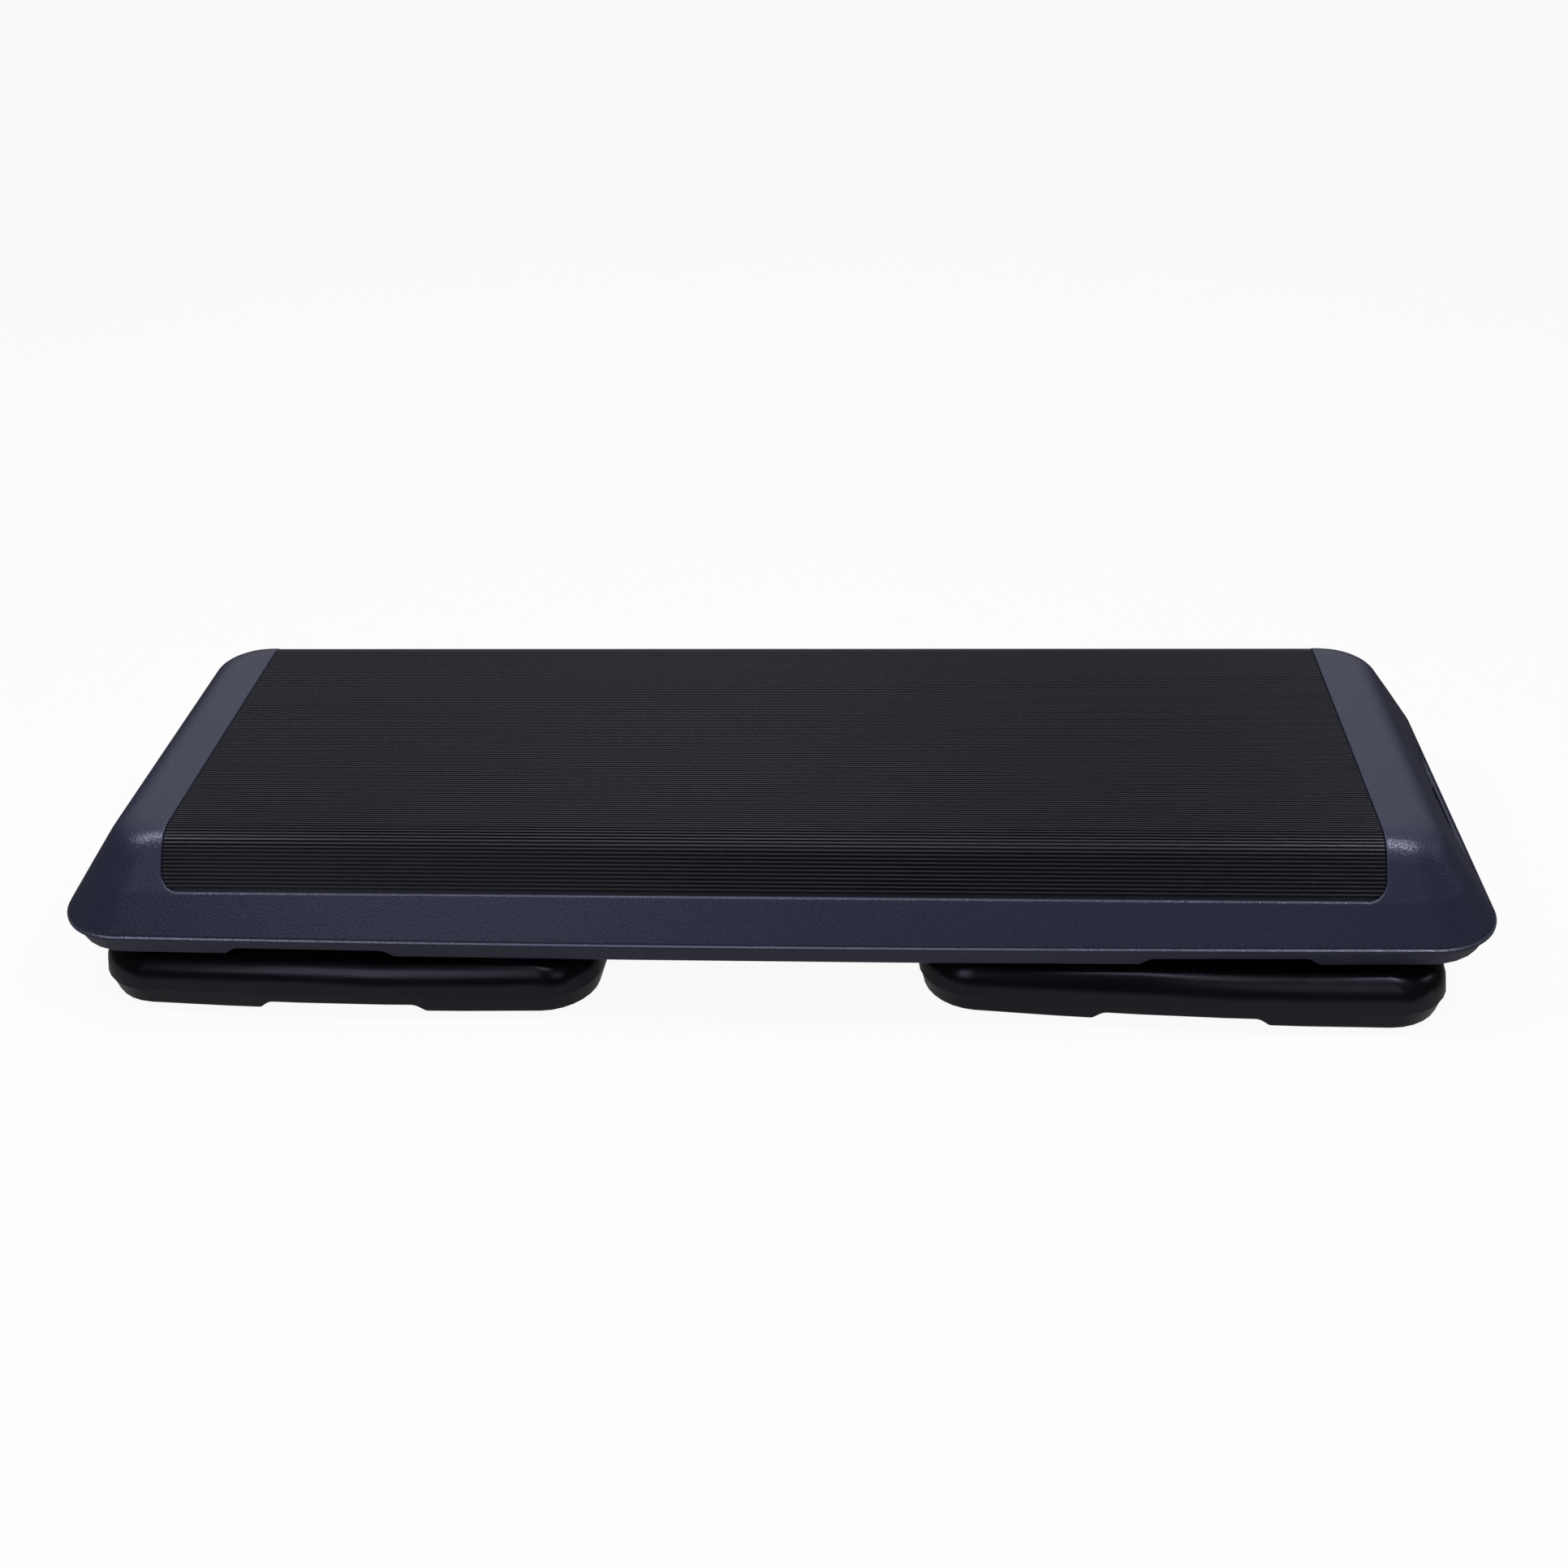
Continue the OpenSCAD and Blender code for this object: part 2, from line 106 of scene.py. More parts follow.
# The photograph's frame, scaled to a long side of 1568, and what shows in it. A point that
# gives only one number is an edge of the whole object or of one piece.
FRAME_W, FRAME_H = 1568, 1568
IMAGE_POINTS = {
    "platform left edge": (68.1, None),
    "platform right edge": (1496.4, None),
    "back edge": (None, 647.7),
    "lowest rim": (None, 1029.8),
    "mat back left": (267.0, 663.9),
    "mat back right": (1316.8, 663.9),
    "mat lip left": (182.6, 890.3),
    "mat lip middle": (784.0, 896.8),
    "mat lip right": (1339.1, 899.7),
    "seam left": (243.5, 943.1),
    "seam middle": (791.3, 950.6),
    "seam right": (1400.0, 953.6),
    "grip edge": (1417.9, 766.9),
    "left riser edge": (105.1, None),
    "right riser edge": (1448.3, None),
}


def linear(code):
    """An sRGB hex colour as the linear RGB that Blender works in."""
    shares = [int(code[i:i + 2], 16) / 255 for i in (1, 3, 5)]
    return [c / 12.92 if c <= 0.04045 else ((c + 0.055) / 1.055) ** 2.4 for c in shares]


# ---- What a user would change ----

def length(name, description, millimetres):
    """A length in the sidebar, given in millimetres."""
    return FloatProperty(
        name=name, description=description, default=millimetres * MM, unit="LENGTH", precision=5)


def angle(name, description, degrees):
    """An angle in the sidebar, given in degrees."""
    return FloatProperty(name=name, description=description, default=math.radians(degrees), unit="ROTATION")


def colour(name, description, code):
    """A colour in the sidebar, given as an sRGB hex code."""
    return FloatVectorProperty(
        name=name, description=description, default=linear(code), size=3, min=0, max=1, subtype="COLOR")


class StepSizes(bpy.types.PropertyGroup):
    """Sizes of the skins. Most are as in the CAD source. The bead with its ledge and edges, the rounding
    of the recess, the trim and the crown are this file's own. Lengths and levels come from the frame."""
    end_slope: angle("End slope", "Slope of the end walls", 55)
    side_slope: angle("Side slope", "Slope of the long walls", 56.3)
    end_round: length("End round", "Rounding between an end wall and the deck", 31.5)
    side_round: length("Side round", "Rounding between a long wall and the deck", 27)
    seam_corner: length("Seam corner", "Corner radius in plan at the seam", 53)
    deck_corner: length("Deck corner", "Corner radius in plan at the deck", 32)
    side_bow: length("Side bow", "How far the long walls bow out at the seam", 5.2)
    wall: length("Wall", "Wall of the moulded shells", 3.5)
    seam_band: length("Seam band", "Height of the straight band above the seam", 2)
    seam_bead: length("Seam bead", "Height of the bead that runs along the seam", 2.2)
    seam_ledge: length("Seam ledge", "How far the wall stands back behind the bead", 1.5)
    seam_edge: length("Seam edge", "Rounding of the bead's edges", 0.5)
    recess_depth: length("Recess depth", "Depth of the recess that holds the mat", 4.4)
    recess_edge: length("Recess edge", "Rounding of the recess's edge", 1.3)
    mat_corner: length("Mat corner", "Corner radius of the mat's rolled edges", 13)
    mat_sink: length("Mat sink", "How far the ribs stay below the deck", 0.4)
    mat_gap: length("Mat gap", "Gap around the mat", 0.3)
    mat_trim: length("Mat trim", "How much the rubber is cut short of its recess", 0.5)
    mat_edge: length("Mat edge", "Width of the plain edge along the rolled edges", 2.4)
    rib_pitch: length("Rib pitch", "Distance between ribs", 3)
    rib_height: length("Rib height", "Height of a rib", 1.3)
    rib_top: length("Rib top", "Width of a rib at its top", 1.4)
    rib_foot: length("Rib foot", "Width of a rib at its foot", 2)
    rib_crown: length("Rib crown", "How far the top of a rib falls off towards its shoulders", 0.12)
    grip_length: length("Grip length", "Length of the scooped grip in each end wall", 230)
    grip_height: length("Grip height", "Height of the grip above the band", 44)
    grip_depth: length("Grip depth", "Depth of the grip at the band", 6)


class StepColours(bpy.types.PropertyGroup):
    """Colours of the finishes."""
    shell: colour("Shell", "Navy-grey polyethylene of the platform", "#252737")
    mat: colour("Mat", "Near-black rubber of the tread", "#191a1e")
    riser: colour("Riser", "Black polypropylene of the risers", "#08080b")
    foot: colour("Foot", "Black rubber of the feet", "#1a1a1c")
    floor: colour("Floor", "Pale studio floor", "#c8c8c8")


class StepCamera(bpy.types.PropertyGroup):
    """The camera of the photograph, settled on its image points."""
    place: FloatVectorProperty(
        name="Place", description="Where the camera stands", default=(0.11043, -1.33824, 0.90208),
        size=3, subtype="TRANSLATION", unit="LENGTH")
    turn: angle("Turn", "Turn to the left of the +Y direction", 4.452)
    tilt: angle("Tilt", "Tilt below the horizon", 31.026)
    roll: angle("Roll", "Roll about the line of sight", -2.051)
    lens: FloatProperty(name="Lens", description="Focal length", default=43.576, unit="CAMERA")


# ---- Nodes and meshes ----

def put(tree, kind, settings=None, values=None, links=None):
    """Adds a node with its settings, its input values and what its inputs are linked to."""
    made = tree.nodes.new(kind)
    for name, value in (settings or {}).items():
        setattr(made, name, value)
    for name, value in (values or {}).items():
        made.inputs[name].default_value = value
    for name, socket in (links or {}).items():
        tree.links.new(socket, made.inputs[name])
    return made


def piece(name, points, faces, material, body, nodes=(), sharp=35):
    """A mesh object that rides on a body, stands for CAD nodes and has creases above this angle."""
    mesh = bpy.data.meshes.new(name)
    mesh.from_pydata(np.asarray(points).tolist(), [], faces)
    mesh.update()
    mesh.shade_smooth()
    mesh.set_sharp_from_angle(angle=math.radians(sharp))
    made = bpy.data.objects.new(name, mesh)
    bpy.context.scene.collection.objects.link(made)
    made.data.materials.append(material)
    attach(made, body)
    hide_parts(*nodes)
    return made


def ring_faces(first, second, count):
    """Quads between two closed rings of points, given by the number of each ring's first point."""
    step = [(i, (i + 1) % count) for i in range(count)]
    return [(first + i, first + j, second + j, second + i) for i, j in step]


def corner_rows(start, corner, end, steps):
    """Rows of points that round a corner, from a row before it to a row behind it."""
    shares = [k / steps for k in range(steps + 1)]
    return [(1 - t) ** 2 * start + 2 * t * (1 - t) * corner + t ** 2 * end for t in shares]


# ---- The form of the platform ----

# Points along an end wall, along a long wall and around a corner, and so in half of an outline
END_POINTS = 56
SIDE_POINTS = 120
CORNER_POINTS = 28
HALF_POINTS = END_POINTS + SIDE_POINTS + 2 * CORNER_POINTS
# Halvings that find the skin's height over a plan point
HALVINGS = 40
# Size of the rounding between a wall and the floor of its grip
GRIP_BLEND = 0.3 * MM


def loop_plan(half_x, half_y, corner_x, corner_y, bow=0.0):
    """Plan points of a rounded rectangle whose long sides bow out, from the right end anticlockwise."""
    mid_x, mid_y = half_x - corner_x, half_y - corner_y
    turn = np.linspace(0, math.pi / 2, CORNER_POINTS, endpoint=False)
    end = np.linspace(-mid_y, mid_y, END_POINTS, endpoint=False)
    side = np.linspace(mid_x, -mid_x, SIDE_POINTS, endpoint=False)
    half = np.concatenate([
        np.stack([np.full(END_POINTS, half_x), end], 1),
        np.stack([mid_x + corner_x * np.cos(turn), mid_y + corner_y * np.sin(turn)], 1),
        np.stack([side, np.full(SIDE_POINTS, half_y)], 1),
        np.stack([-mid_x - corner_x * np.sin(turn), mid_y + corner_y * np.cos(turn)], 1),
    ])
    loop = np.concatenate([half, -half])
    loop[:, 1] *= 1 + bow / half_y * (1 - (loop[:, 0] / half_x) ** 2)
    return loop


def wall_inset(height, top, radius, slope, depth):
    """How far a wall that ends in a rounding has drawn in at a height, this deep under its skin."""
    crown, turn = top - depth, radius - depth
    bend = crown - turn * (1 - math.cos(slope))
    straight = depth / math.sin(slope) + np.minimum(height, bend) / math.tan(slope)
    drop = np.clip(1 - (crown - height) / turn, -1, 1)
    return straight + np.where(height > bend, turn * (math.sin(slope) - np.sin(np.arccos(drop))), 0)


class PlatformForm:
    """The outside of the platform's upper shell and the section that the mat follows."""

    def __init__(self, sizes):
        low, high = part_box("platform_upper_shell")
        mat_low, mat_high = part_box("tread_mat")
        self.sizes = sizes
        self.half_x, self.half_y = high.x, high.y
        self.seam, self.deck = low.z, high.z
        self.base = self.seam + sizes.seam_band
        self.rise = self.deck - self.base
        self.lip = mat_low.z - sizes.mat_gap
        self.mat_half = mat_high.x + sizes.mat_gap
        round_run = sizes.side_round * math.tan(sizes.side_slope / 2)
        self.flat_half = self.half_y - self.rise / math.tan(sizes.side_slope) - round_run
        self.arc = sizes.side_round * sizes.side_slope

    def ring(self, height, depth=0.0):
        """Half sides, corner and bow of the shell's outline at this height over the band."""
        s = self.sizes
        bow = s.side_bow * np.maximum(0, 1 - height / (self.lip - self.base))
        half_x = self.half_x - wall_inset(height, self.rise, s.end_round, s.end_slope, depth)
        half_y = self.half_y - bow - wall_inset(height, self.rise, s.side_round, s.side_slope, depth)
        corner = s.seam_corner + (s.deck_corner - s.seam_corner) * height / self.rise
        return half_x, half_y, corner, bow

    def outside(self, x, y, height, depth):
        """Distance of plan points outside the outline at this height, below zero inside it."""
        half_x, half_y, corner, bow = self.ring(height, depth)
        y = y / (1 + bow / half_y * (1 - (x / half_x) ** 2))
        over_x, over_y = np.abs(x) - half_x + corner, np.abs(y) - half_y + corner
        away = np.hypot(np.maximum(over_x, 0), np.maximum(over_y, 0))
        return away + np.minimum(np.maximum(over_x, over_y), 0) - corner

    def grip_floor(self, x, y, depth):
        """Height of the scooped floor of an end grip, which leans in less than the wall does."""
        s = self.sizes
        run = s.grip_height / math.tan(s.end_slope) - s.grip_depth
        lean = math.atan2(run, s.grip_height)
        sag = s.grip_depth * math.cos(lean)
        radius = ((s.grip_length / 2) ** 2 + sag ** 2) / (2 * sag)
        scoop = radius - np.sqrt(np.maximum(radius ** 2 - y ** 2, 0))
        foot = self.half_x - s.grip_depth + (scoop - depth) / math.cos(lean)
        return self.base + (foot - np.abs(x)) / math.tan(lean)

    def skin(self, plan, depth=0.0):
        """Plan points raised to the shell's skin, with the grips scooped out of the end walls."""
        x, y = plan[:, 0], plan[:, 1]
        low = np.zeros(len(plan))
        high = np.full(len(plan), self.rise - depth)
        for _ in range(HALVINGS):
            middle = (low + high) / 2
            beyond = self.outside(x, y, middle, depth) > 0
            low, high = np.where(beyond, low, middle), np.where(beyond, middle, high)
        wall = self.base + low
        floor = self.grip_floor(x, y, depth)
        near = np.maximum(GRIP_BLEND - np.abs(wall - floor), 0)
        scooped = np.minimum(wall, floor) - near ** 2 / (4 * GRIP_BLEND)
        scooped = np.where(np.abs(x) > self.mat_half, scooped, wall)
        return np.column_stack([plan, np.maximum(scooped, self.base)])

    def section(self, run, depth):
        """Y and Z of points on the section across the platform, run along its skin and this deep."""
        s = self.sizes
        way, run = np.sign(run), np.abs(run)
        turn = np.clip((run - self.flat_half) / s.side_round, 0, s.side_slope)
        slide = np.maximum(run - self.flat_half - self.arc, 0)
        radius = s.side_round - depth
        y = np.minimum(run, self.flat_half) + radius * np.sin(turn) + slide * math.cos(s.side_slope)
        z = self.deck - s.side_round + radius * np.cos(turn) - slide * math.sin(s.side_slope)
        return way * y, z

    def section_y(self, z, depth):
        """Y of the sloped side at a level, this deep."""
        s = self.sizes
        radius = s.side_round - depth
        slide = (self.deck - s.side_round + radius * math.cos(s.side_slope) - z) / math.sin(s.side_slope)
        return self.flat_half + radius * math.sin(s.side_slope) + slide * math.cos(s.side_slope)

    def section_z(self, y, depth):
        """Level of the section over these Y, this deep."""
        s = self.sizes
        radius = s.side_round - depth
        over = np.abs(y) - self.flat_half
        bend = radius * math.sin(s.side_slope)
        dome = self.deck - s.side_round + np.sqrt(radius ** 2 - np.clip(over, 0, bend) ** 2)
        return dome - np.maximum(over - bend, 0) * math.tan(s.side_slope)

    def recess_plan(self, grow, depth):
        """Plan of the mat's recess, grown by this much, where it meets the section this deep."""
        s = self.sizes
        corner = s.mat_corner + grow
        half_y = self.section_y(self.lip - grow, depth)
        return loop_plan(self.mat_half + grow, half_y, corner, corner / math.tan(s.side_slope))

    def recess_foot(self, grow, depth):
        """The foot of the recess's walls: its plan, at the level of its floor."""
        plan = self.recess_plan(grow, depth)
        return np.column_stack([plan, self.section_z(plan[:, 1], depth)])

    def ring_points(self, height, inset=0.0, level=0.0):
        """The outline at this height over the band, drawn in a little and laid at a level."""
        half_x, half_y, corner, bow = self.ring(height)
        plan = loop_plan(half_x - inset, half_y - inset, corner, corner, bow)
        return np.column_stack([plan, np.full(len(plan), level)])


def recess_floor(first, upward):
    """Faces of a recess's floor inside its foot ring: strips across it and a face at each lip."""
    left = first + HALF_POINTS
    faces = [
        (first + i, first + i + 1, left + END_POINTS - i - 1, left + END_POINTS - i)
        for i in range(END_POINTS)
    ]
    faces.append(tuple(range(first + END_POINTS, left + 1)))
    faces.append((*range(left + END_POINTS, left + HALF_POINTS), first))
    return faces if upward else [face[::-1] for face in faces]


# Rows of points between the seam and the recess, on the outside and on the inside
SURFACE_ROWS = 110
INSIDE_ROWS = 24
# Steps around the recess's edge, the bead's upper edge and its lower edge
RECESS_STEPS = 5
BEAD_STEPS = 4
SEAM_STEPS = 3
# How much the ledge behind the bead rises towards the wall, as a share of its width
LEDGE_RISE = 0.5


class STEP_OT_platform_skin(bpy.types.Operator):
    """Makes the platform's upper shell with its rounded recess, grips, band and inner wall"""
    bl_idname = "step.platform_skin"
    bl_label = "Platform upper shell"

    def execute(self, context):
        sizes = context.scene.step_sizes
        form = PlatformForm(sizes)
        edge, ledge, seam_edge = sizes.recess_edge, sizes.seam_ledge, sizes.seam_edge
        # The recess's wall, its rounded edge and the skin from there out to the ledge
        foot = form.recess_foot(0, sizes.recess_depth)
        brink = form.skin(form.recess_plan(0, 0))
        down = (foot - brink) / np.linalg.norm(foot - brink, axis=1, keepdims=True)
        inner = form.recess_plan(edge, 0)
        outer = form.ring_points(0, ledge)[:, :2]
        rows = [foot]
        rows += corner_rows(brink + edge * down, brink, form.skin(inner), RECESS_STEPS)
        rows += [form.skin(inner + (outer - inner) * k / SURFACE_ROWS) for k in range(1, SURFACE_ROWS + 1)]
        # The ledge and the bead
        top = form.seam + sizes.seam_bead
        rows.append(form.ring_points(0, ledge, top + LEDGE_RISE * ledge))
        bead = [form.ring_points(0, seam_edge, top), form.ring_points(0, level=top),
                form.ring_points(0, level=top - seam_edge)]
        rows += corner_rows(*bead, BEAD_STEPS)
        low = [form.ring_points(0, level=form.seam + seam_edge), form.ring_points(0, level=form.seam),
               form.ring_points(0, seam_edge, form.seam)]
        rows += corner_rows(*low, SEAM_STEPS)
        # The inside of the wall, up to the underside of the recess
        inset = sizes.wall / math.sin(sizes.end_slope)
        rows += [form.ring_points(0, inset, level) for level in (form.seam, form.base)]
        under = form.recess_plan(sizes.wall, sizes.wall)
        rim = rows[-1][:, :2]
        rows += [
            form.skin(rim + (under - rim) * k / INSIDE_ROWS, sizes.wall) for k in range(1, INSIDE_ROWS + 1)]
        rows.append(form.recess_foot(sizes.wall, sizes.recess_depth + sizes.wall))
        count = 2 * HALF_POINTS
        faces = recess_floor(0, True)
        for k in range(len(rows) - 1):
            faces += ring_faces(k * count, (k + 1) * count, count)
        faces += recess_floor((len(rows) - 1) * count, False)
        piece("platform_upper_skin", np.concatenate(rows), faces, moulded_polyethylene(),
              PLATFORM, ["platform_upper_shell"])
        return {"FINISHED"}


# ---- The tread mat ----

# Stretches along the mat
MAT_COLUMNS = 8
# How much of a rib's top its soft shoulder takes, on each side
RIB_SHOULDER = 0.1 * MM
# Places across a rib, as shares of half its pitch, closer together on its shoulders
RIB_SHARES = (-1, -0.8, -0.68, -0.6, -0.52, -0.46, -0.39, -0.28, -0.14,
              0, 0.14, 0.28, 0.39, 0.46, 0.52, 0.6, 0.68, 0.8)


def rib_depth(away, sizes):
    """Depth under the deck at a distance from a rib's middle: a crowned top and a soft step to its foot."""
    top, foot = sizes.rib_top / 2 - RIB_SHOULDER, sizes.rib_foot / 2
    crown = sizes.rib_crown * np.minimum(np.abs(away) / top, 1) ** 2
    share = np.clip((np.abs(away) - top) / (foot - top), 0, 1)
    return sizes.mat_sink + crown + (sizes.rib_height - sizes.rib_crown) * share ** 2 * (3 - 2 * share)


class STEP_OT_tread_mat(bpy.types.Operator):
    """Makes the ribbed rubber mat, rolled over both long edges of the platform"""
    bl_idname = "step.tread_mat"
    bl_label = "Tread mat"

    def execute(self, context):
        sizes = context.scene.step_sizes
        form = PlatformForm(sizes)
        low = form.lip + sizes.mat_gap
        cos, sin = math.cos(sizes.side_slope), math.sin(sizes.side_slope)

        def last_run(depth):
            """Run along the section to the mat's lower end, this deep."""
            slide = (form.deck - low - sizes.side_round + (sizes.side_round - depth) * cos) / sin
            return form.flat_half + form.arc + slide

        top_end, back_end = last_run(sizes.mat_sink) - sizes.mat_trim, last_run(sizes.recess_depth)
        lip_run = form.flat_half + form.arc + (form.deck - form.lip - sizes.side_round * (1 - cos)) / sin
        ribs = math.floor((lip_run - sizes.mat_edge - sizes.rib_foot / 2) / sizes.rib_pitch)
        run = np.array([
            (k + share / 2) * sizes.rib_pitch for k in range(-ribs, ribs + 1) for share in RIB_SHARES])
        run = run[np.abs(run) <= ribs * sizes.rib_pitch + sizes.rib_foot / 2]
        away = run - np.round(run / sizes.rib_pitch) * sizes.rib_pitch
        valley = sizes.mat_sink + sizes.rib_height
        depth = np.concatenate([[valley], rib_depth(away, sizes), [valley]])
        run = np.concatenate([[-top_end], run, [top_end]])
        # The underside follows the ribs' places and ends where its own depth meets the mat's lower end.
        back = run.copy()
        bend = form.flat_half + form.arc
        past = np.abs(run) > bend
        back[past] = np.sign(run[past]) * (
            bend + (np.abs(run[past]) - bend) * (back_end - bend) / (top_end - bend))
        half, corner = form.mat_half - sizes.mat_gap - sizes.mat_trim, sizes.mat_corner - sizes.mat_gap

        def columns(y, z, count):
            """Copies of a section from the mat's left end to its right one, drawn in at the corners."""
            fall = np.clip(low + corner - z, 0, corner)
            reach = half - corner + np.sqrt(corner ** 2 - fall ** 2)
            return [np.column_stack([reach * (2 * k / count - 1), y, z]) for k in range(count + 1)]

        rows = columns(*form.section(run, depth), MAT_COLUMNS)
        rows += columns(*form.section(back, np.full(len(back), sizes.recess_depth)), 1)[::-1]
        count, total = len(run), len(rows)
        faces = []
        for r in range(total):
            here, after = r * count, (r + 1) % total * count
            faces += [(here + i, after + i, after + i + 1, here + i + 1) for i in range(count - 1)]
        faces.append(tuple(r * count for r in range(total))[::-1])
        faces.append(tuple(r * count + count - 1 for r in range(total)))
        piece("ribbed_tread", np.concatenate(rows), faces, ribbed_rubber(),
              PLATFORM, ["tread_mat"], sharp=50)
        return {"FINISHED"}


# ---- Pieces that stay as the CAD has them ----

# CAD facets closer than this are joined, and walls that meet above this angle keep their crease.
FACET_JOIN = 0.005 * MM
CREASE = math.radians(32)


def finish_node(name, material):
    """Gives a CAD node its finish, and shades its rounded walls smooth between real creases."""
    node = frame["nodes"][name]
    node.data.materials.clear()
    node.data.materials.append(material)
    node.data.shade_smooth()
    weld = node.modifiers.new("join facets", "WELD")
    weld.merge_threshold = FACET_JOIN
    crease = node.modifiers.new("creases", "EDGE_SPLIT")
    crease.split_angle = CREASE
    crease.use_edge_sharp = False
    node.modifiers.new("even shading", "WEIGHTED_NORMAL")


class STEP_OT_platform_base(bpy.types.Operator):
    """Finishes the platform's lower shell"""
    bl_idname = "step.platform_base"
    bl_label = "Platform lower shell"

    def execute(self, context):
        finish_node("platform_lower_shell", moulded_polyethylene())
        return {"FINISHED"}


class STEP_OT_risers(bpy.types.Operator):
    """Finishes both shells of each riser"""
    bl_idname = "step.risers"
    bl_label = "Risers"

    def execute(self, context):
        for riser in RISERS:
            for part in ("upper_shell", "lower_shell"):
                finish_node(f"{riser}_{part}", moulded_polypropylene())
        return {"FINISHED"}


class STEP_OT_feet(bpy.types.Operator):
    """Finishes the push-in rubber feet of the platform and both risers"""
    bl_idname = "step.feet"
    bl_label = "Rubber feet"

    def execute(self, context):
        for name in frame["nodes"]:
            if "_foot_" in name:
                finish_node(name, moulded_rubber())
        return {"FINISHED"}


# ---- Finishes ----

def new_material(name):
    """A new material with its empty node tree, or the one that is there already, with None."""
    found = bpy.data.materials.get(name)
    if found:
        return found, None
    made = bpy.data.materials.new(name)
    made.use_nodes = True
    made.node_tree.nodes.clear()
    return made, made.node_tree


def moulded_polyethylene():
    """High-density polyethylene from a spark-eroded mould: a satin skin with a fine pebble grain."""
    material, tree = new_material("HDPE, moulded, spark-grained")
    if tree is None:
        return material
    grain_mm, cloud_mm = 1.8, 90
    place = put(tree, "ShaderNodeTexCoord").outputs["Object"]
    # The real grain is near 0.6 mm, under a pixel here, so it is drawn at 1.8 mm to show in highlights.
    grain = put(tree, "ShaderNodeTexNoise", {"noise_dimensions": "3D"},
                {"Scale": 1 / (grain_mm * MM), "Detail": 2.0, "Roughness": 0.6}, {"Vector": place})
    cloud = put(tree, "ShaderNodeTexNoise", None,
                {"Scale": 1 / (cloud_mm * MM), "Detail": 3.0, "Roughness": 0.5}, {"Vector": place})
    tone = put(tree, "ShaderNodeMapRange", None, {"To Min": 0.97, "To Max": 1.03},
               {"Value": cloud.outputs["Fac"]})
    base = put(tree, "ShaderNodeVectorMath", {"operation": "SCALE"},
               {0: bpy.context.scene.step_colours.shell}, {"Scale": tone.outputs["Result"]})
    rough = put(tree, "ShaderNodeMapRange", None,
                {"From Min": 0.3, "From Max": 0.7, "To Min": 0.26, "To Max": 0.34},
                {"Value": grain.outputs["Fac"]})
    bump = put(tree, "ShaderNodeBump", None, {"Strength": 0.85, "Distance": 0.42 * MM},
               {"Height": grain.outputs["Fac"]})
    # Specular Tint paints a cool, bluish cast into the reflections, standing in for bluer light.
    shader = put(tree, "ShaderNodeBsdfPrincipled", None,
                 {"IOR": 1.54, "Specular IOR Level": 0.4, "Specular Tint": (0.8, 0.81, 1.0, 1.0)},
                 {"Base Color": base.outputs["Vector"], "Roughness": rough.outputs["Result"],
                  "Normal": bump.outputs["Normal"]})
    put(tree, "ShaderNodeOutputMaterial", links={"Surface": shader.outputs["BSDF"]})
    return material


def ribbed_rubber():
    """Calendered synthetic rubber: nearly black, dull, with faint streaks along the ribs."""
    material, tree = new_material("SBR rubber, calendered, ribbed")
    if tree is None:
        return material
    streak_mm, stretch, pore_mm = 5, 40, 1.6
    place = put(tree, "ShaderNodeTexCoord").outputs["Object"]
    drawn = put(tree, "ShaderNodeMapping", None, {"Scale": (1 / stretch, 1, 1)}, {"Vector": place})
    streak = put(tree, "ShaderNodeTexNoise", None,
                 {"Scale": 1 / (streak_mm * MM), "Detail": 3.0, "Roughness": 0.6},
                 {"Vector": drawn.outputs["Vector"]})
    # Pores under a millimetre are drawn at 1.6 mm so that they break up the sheen at this size.
    pores = put(tree, "ShaderNodeTexNoise", None,
                {"Scale": 1 / (pore_mm * MM), "Detail": 2.0, "Roughness": 0.5}, {"Vector": place})
    tone = put(tree, "ShaderNodeMapRange", None,
               {"From Min": 0.3, "From Max": 0.7, "To Min": 0.96, "To Max": 1.04},
               {"Value": streak.outputs["Fac"]})
    base = put(tree, "ShaderNodeVectorMath", {"operation": "SCALE"},
               {0: bpy.context.scene.step_colours.mat}, {"Scale": tone.outputs["Result"]})
    rough = put(tree, "ShaderNodeMapRange", None,
                {"From Min": 0.3, "From Max": 0.7, "To Min": 0.3, "To Max": 0.38},
                {"Value": pores.outputs["Fac"]})
    bump = put(tree, "ShaderNodeBump", None, {"Strength": 0.25, "Distance": 0.1 * MM},
               {"Height": pores.outputs["Fac"]})
    # Specular Tint paints a cool, bluish cast into the reflections, standing in for bluer light.
    shader = put(tree, "ShaderNodeBsdfPrincipled", None,
                 {"IOR": 1.52, "Specular IOR Level": 0.19, "Specular Tint": (0.88, 0.88, 1.0, 1.0)},
                 {"Base Color": base.outputs["Vector"], "Roughness": rough.outputs["Result"],
                  "Normal": bump.outputs["Normal"]})
    put(tree, "ShaderNodeOutputMaterial", links={"Surface": shader.outputs["BSDF"]})
    return material


